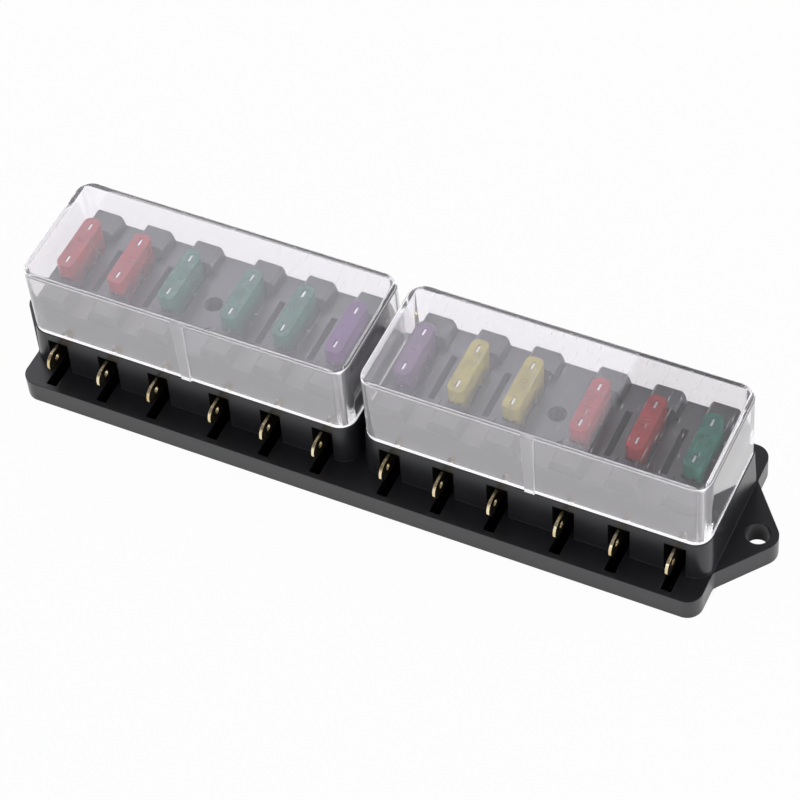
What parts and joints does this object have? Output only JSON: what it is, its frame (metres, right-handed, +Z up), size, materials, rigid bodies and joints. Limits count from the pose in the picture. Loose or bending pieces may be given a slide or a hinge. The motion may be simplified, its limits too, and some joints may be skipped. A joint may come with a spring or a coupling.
{
  "type": "blade fuse block",
  "caption": "Long black moulded block that holds plug-in blade fuses in a row under two clear lift-off covers, with brass tabs along both sides and a mounting ear at each end.",
  "frame": {"origin": "bottom centre of the base plate", "axes": "+X along the row of fuses, +Y across it towards the back, +Z up"},
  "size_m": [0.2304, 0.0564, 0.0442],
  "materials": {
    "black_plastic": "matt moulded",
    "clear_plastic": "clear, polished",
    "brass": "satin",
    "fuse_metal": "satin",
    "fuse_red": "translucent",
    "fuse_green": "translucent",
    "fuse_violet": "translucent",
    "fuse_lilac": "translucent",
    "fuse_yellow": "translucent"
  },
  "bodies": {
    "base": {"base_housing": "black_plastic", "terminal_front_01": "brass", "terminal_back_01": "brass", "terminal_front_02": "brass", "terminal_back_02": "brass", "terminal_front_03": "brass", "terminal_back_03": "brass", "terminal_front_04": "brass", "terminal_back_04": "brass", "terminal_front_05": "brass", "terminal_back_05": "brass", "terminal_front_06": "brass", "terminal_back_06": "brass", "terminal_front_07": "brass", "terminal_back_07": "brass", "terminal_front_08": "brass", "terminal_back_08": "brass", "terminal_front_09": "brass", "terminal_back_09": "brass", "terminal_front_10": "brass", "terminal_back_10": "brass", "terminal_front_11": "brass", "terminal_back_11": "brass", "terminal_front_12": "brass", "terminal_back_12": "brass"},
    "left_cover": {"cover_left": "clear_plastic"},
    "right_cover": {"cover_right": "clear_plastic"},
    "fuse_01": {"fuse_housing_01": "fuse_red", "fuse_element_01": "fuse_metal"},
    "fuse_02": {"fuse_housing_02": "fuse_red", "fuse_element_02": "fuse_metal"},
    "fuse_03": {"fuse_housing_03": "fuse_green", "fuse_element_03": "fuse_metal"},
    "fuse_04": {"fuse_housing_04": "fuse_green", "fuse_element_04": "fuse_metal"},
    "fuse_05": {"fuse_housing_05": "fuse_green", "fuse_element_05": "fuse_metal"},
    "fuse_06": {"fuse_housing_06": "fuse_violet", "fuse_element_06": "fuse_metal"},
    "fuse_07": {"fuse_housing_07": "fuse_lilac", "fuse_element_07": "fuse_metal"},
    "fuse_08": {"fuse_housing_08": "fuse_yellow", "fuse_element_08": "fuse_metal"},
    "fuse_09": {"fuse_housing_09": "fuse_yellow", "fuse_element_09": "fuse_metal"},
    "fuse_10": {"fuse_housing_10": "fuse_red", "fuse_element_10": "fuse_metal"},
    "fuse_11": {"fuse_housing_11": "fuse_red", "fuse_element_11": "fuse_metal"},
    "fuse_12": {"fuse_housing_12": "fuse_green", "fuse_element_12": "fuse_metal"}
  },
  "joints": [
    {"name": "left_cover_lift", "type": "slide", "parent": "base", "child": "left_cover", "axis": [0, 0, 1], "range_m": [0, 0.045]},
    {"name": "right_cover_lift", "type": "slide", "parent": "base", "child": "right_cover", "axis": [0, 0, 1], "range_m": [0, 0.045]},
    {"name": "fuse_01_pull", "type": "slide", "parent": "base", "child": "fuse_01", "axis": [0, 0, 1], "range_m": [0, 0.0031]},
    {"name": "fuse_02_pull", "type": "slide", "parent": "base", "child": "fuse_02", "axis": [0, 0, 1], "range_m": [0, 0.0031]},
    {"name": "fuse_03_pull", "type": "slide", "parent": "base", "child": "fuse_03", "axis": [0, 0, 1], "range_m": [0, 0.0031]},
    {"name": "fuse_04_pull", "type": "slide", "parent": "base", "child": "fuse_04", "axis": [0, 0, 1], "range_m": [0, 0.0031]},
    {"name": "fuse_05_pull", "type": "slide", "parent": "base", "child": "fuse_05", "axis": [0, 0, 1], "range_m": [0, 0.0031]},
    {"name": "fuse_06_pull", "type": "slide", "parent": "base", "child": "fuse_06", "axis": [0, 0, 1], "range_m": [0, 0.0031]},
    {"name": "fuse_07_pull", "type": "slide", "parent": "base", "child": "fuse_07", "axis": [0, 0, 1], "range_m": [0, 0.0031]},
    {"name": "fuse_08_pull", "type": "slide", "parent": "base", "child": "fuse_08", "axis": [0, 0, 1], "range_m": [0, 0.0031]},
    {"name": "fuse_09_pull", "type": "slide", "parent": "base", "child": "fuse_09", "axis": [0, 0, 1], "range_m": [0, 0.0031]},
    {"name": "fuse_10_pull", "type": "slide", "parent": "base", "child": "fuse_10", "axis": [0, 0, 1], "range_m": [0, 0.0031]},
    {"name": "fuse_11_pull", "type": "slide", "parent": "base", "child": "fuse_11", "axis": [0, 0, 1], "range_m": [0, 0.0031]},
    {"name": "fuse_12_pull", "type": "slide", "parent": "base", "child": "fuse_12", "axis": [0, 0, 1], "range_m": [0, 0.0031]}
  ]
}
